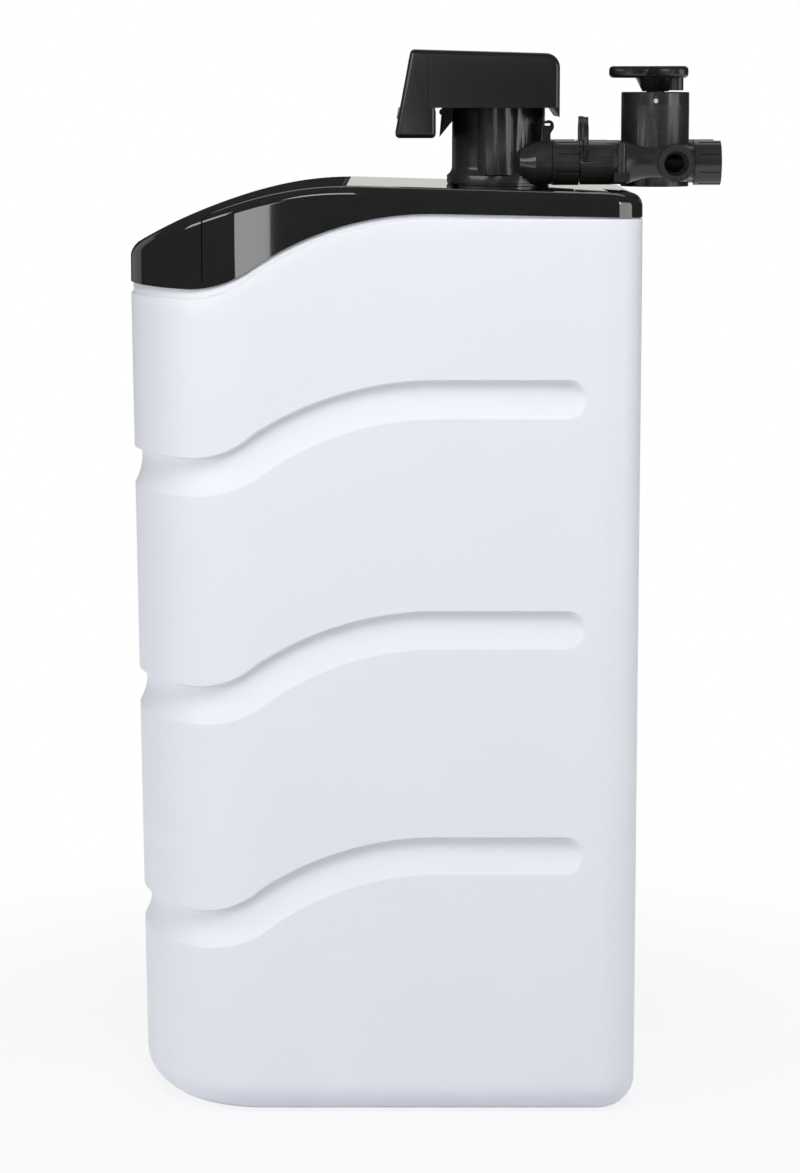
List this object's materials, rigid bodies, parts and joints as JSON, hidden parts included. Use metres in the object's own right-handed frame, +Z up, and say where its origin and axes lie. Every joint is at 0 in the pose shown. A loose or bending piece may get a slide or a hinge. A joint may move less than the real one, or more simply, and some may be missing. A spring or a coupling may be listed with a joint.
{
  "type": "water softener",
  "caption": "Cabinet water softener: white moulded cabinet with wave grooves, black hinged salt lid, rotary control valve with gear drive, and a bypass with knob.",
  "frame": {"origin": "floor level under the middle of the cabinet", "axes": "+Z up, +X to the rear where the bypass is, +Y to the side that holds the brine well"},
  "size_m": [0.5809, 0.338, 1.0392],
  "materials": {
    "cabinet_white": "satin moulded",
    "gloss_black": "gloss",
    "satin_black": "satin moulded",
    "tank_wrap": "wound fibre",
    "resin": "beads",
    "white_moulding": "satin moulded",
    "seal": "matte",
    "ceramic": "polished ceramic",
    "gear": "moulded",
    "brass": "turned",
    "steel": "brushed",
    "motor": "satin",
    "window": "tinted",
    "board": "solder mask",
    "key": "satin",
    "turbine": "moulded"
  },
  "bodies": {
    "frame": {"cabinet": "cabinet_white", "top_cover": "gloss_black", "valve_body": "satin_black", "head_base": "satin_black", "head_hood": "satin_black", "front_fascia": "satin_black", "cover_latch": "satin_black", "cable_hook": "satin_black", "injector_cap": "satin_black", "brine_elbow": "satin_black", "drain_barb": "satin_black", "power_inlet": "satin_black", "union_nuts": "satin_black", "port_adaptors": "satin_black", "retaining_clips": "satin_black", "bypass_body": "satin_black", "clamp_nuts": "satin_black", "rear_nuts": "satin_black", "bypass_bonnet": "satin_black", "top_cap": "satin_black", "overflow_elbow": "satin_black", "overflow_nut": "satin_black", "tank_boot": "satin_black", "clamp_bolts": "satin_black", "resin_tank": "tank_wrap", "resin_bed": "resin", "riser_tube": "white_moulding", "bottom_basket": "white_moulding", "top_basket": "white_moulding", "brine_well": "white_moulding", "brine_well_cap": "white_moulding", "salt_grid": "white_moulding", "brine_valve": "white_moulding", "air_check": "white_moulding", "brine_line": "white_moulding", "tank_oring": "seal", "stem_oring": "seal", "disc_gasket": "seal", "fixed_disc": "ceramic", "bonnet_screws": "brass", "lid_hinge_pins": "steel", "motor_bracket": "steel", "head_screws": "steel", "drive_motor": "motor", "display_window": "window", "circuit_board": "board"},
    "lid": {"salt_lid": "gloss_black"},
    "bypass_plug": {"bypass_rotor": "white_moulding", "bypass_knob": "gloss_black"},
    "valve_rotor": {"drive_gear": "gear", "valve_stem": "gear", "moving_disc": "ceramic"},
    "pinion": {"motor_pinion": "brass"},
    "turbine": {"meter_rotor": "turbine"},
    "float_group": {"float": "white_moulding", "float_rod": "steel"},
    "key_up": {"key_up": "key"},
    "key_down": {"key_down": "key"},
    "key_menu": {"key_menu": "key"},
    "key_confirm": {"key_confirm": "key"}
  },
  "joints": [
    {"name": "lid_hinge", "type": "hinge", "parent": "frame", "child": "lid", "pos_m": [-0.038, 0, 0.90695], "axis": [0, 1, 0], "range_deg": [0, 95]},
    {"name": "bypass_turn", "type": "hinge", "parent": "frame", "child": "bypass_plug", "pos_m": [0.27, 0, 0.9595], "axis": [0, 0, 1], "range_deg": [0, 90]},
    {"name": "valve_turn", "type": "hinge", "parent": "frame", "child": "valve_rotor", "pos_m": [0.115, 0, 0.9695], "axis": [0, 0, 1], "continuous": true},
    {"name": "pinion_turn", "type": "hinge", "parent": "frame", "child": "pinion", "pos_m": [0.07, 0, 0.9975], "axis": [0, 0, 1], "continuous": true},
    {"name": "turbine_spin", "type": "hinge", "parent": "frame", "child": "turbine", "pos_m": [0.215, -0.038, 0.9295], "axis": [1, 0, 0], "continuous": true},
    {"name": "float_slide", "type": "slide", "parent": "frame", "child": "float_group", "axis": [0, 0, 1], "range_m": [0, 0.025]},
    {"name": "key_up_press", "type": "slide", "parent": "frame", "child": "key_up", "axis": [0.9845, 0, -0.1754], "range_m": [0, 0.0008], "stiffness_N_per_m": 400, "springref_m": -0.0005},
    {"name": "key_down_press", "type": "slide", "parent": "frame", "child": "key_down", "axis": [0.9845, 0, -0.1754], "range_m": [0, 0.0008], "stiffness_N_per_m": 400, "springref_m": -0.0005},
    {"name": "key_menu_press", "type": "slide", "parent": "frame", "child": "key_menu", "axis": [0.9845, 0, -0.1754], "range_m": [0, 0.0008], "stiffness_N_per_m": 400, "springref_m": -0.0005},
    {"name": "key_confirm_press", "type": "slide", "parent": "frame", "child": "key_confirm", "axis": [0.9845, 0, -0.1754], "range_m": [0, 0.0008], "stiffness_N_per_m": 400, "springref_m": -0.0005}
  ],
  "couplings": [
    {"joint": "pinion_turn", "follows": "valve_turn", "ratio": -3}
  ]
}
